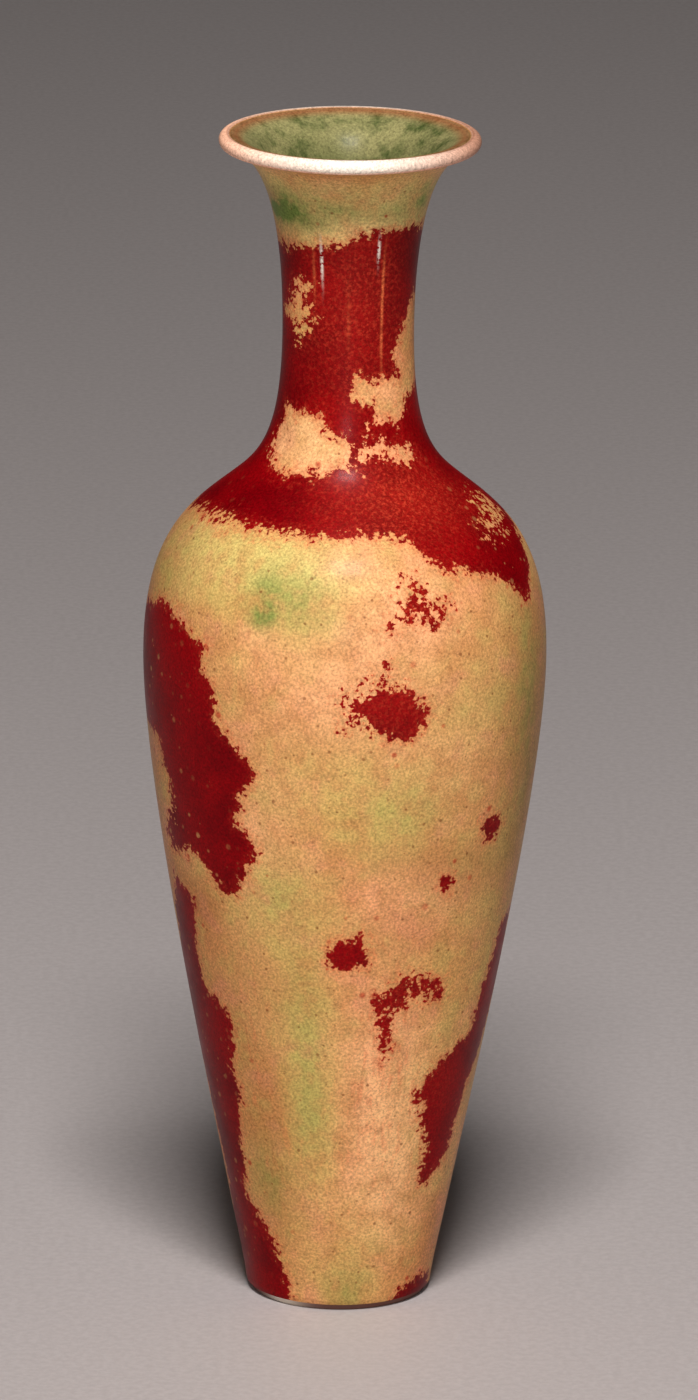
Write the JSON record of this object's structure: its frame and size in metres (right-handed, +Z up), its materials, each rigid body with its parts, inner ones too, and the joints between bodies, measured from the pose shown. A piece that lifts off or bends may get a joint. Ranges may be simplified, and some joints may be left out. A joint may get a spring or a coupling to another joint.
{
  "type": "vase",
  "caption": "Slender glazed porcelain vase with high shoulders, a narrow waisted neck, a flared rolled mouth and a small recessed foot.",
  "frame": {"origin": "middle of the foot ring's resting face, on the table", "axes": "+Z up along the vase's axis; +Y away from the viewer of the picture"},
  "size_m": [0.054, 0.054, 0.16],
  "materials": {
    "porcelain": "bare fired clay, matt",
    "luting_slip": "bare fired slip, matt",
    "copper_red_glaze": "glossy copper-red glaze, mottled with buff and green",
    "clear_glaze": "glossy clear glaze, faintly grey-green"
  },
  "bodies": {
    "root": {"lower_body": "porcelain", "belly_joint_slip": "luting_slip", "shoulder": "porcelain", "neck_joint_slip": "luting_slip", "neck_and_mouth": "porcelain", "copper_red_glaze": "copper_red_glaze", "inner_clear_glaze": "clear_glaze", "base_clear_glaze": "clear_glaze"}
  },
  "joints": []
}
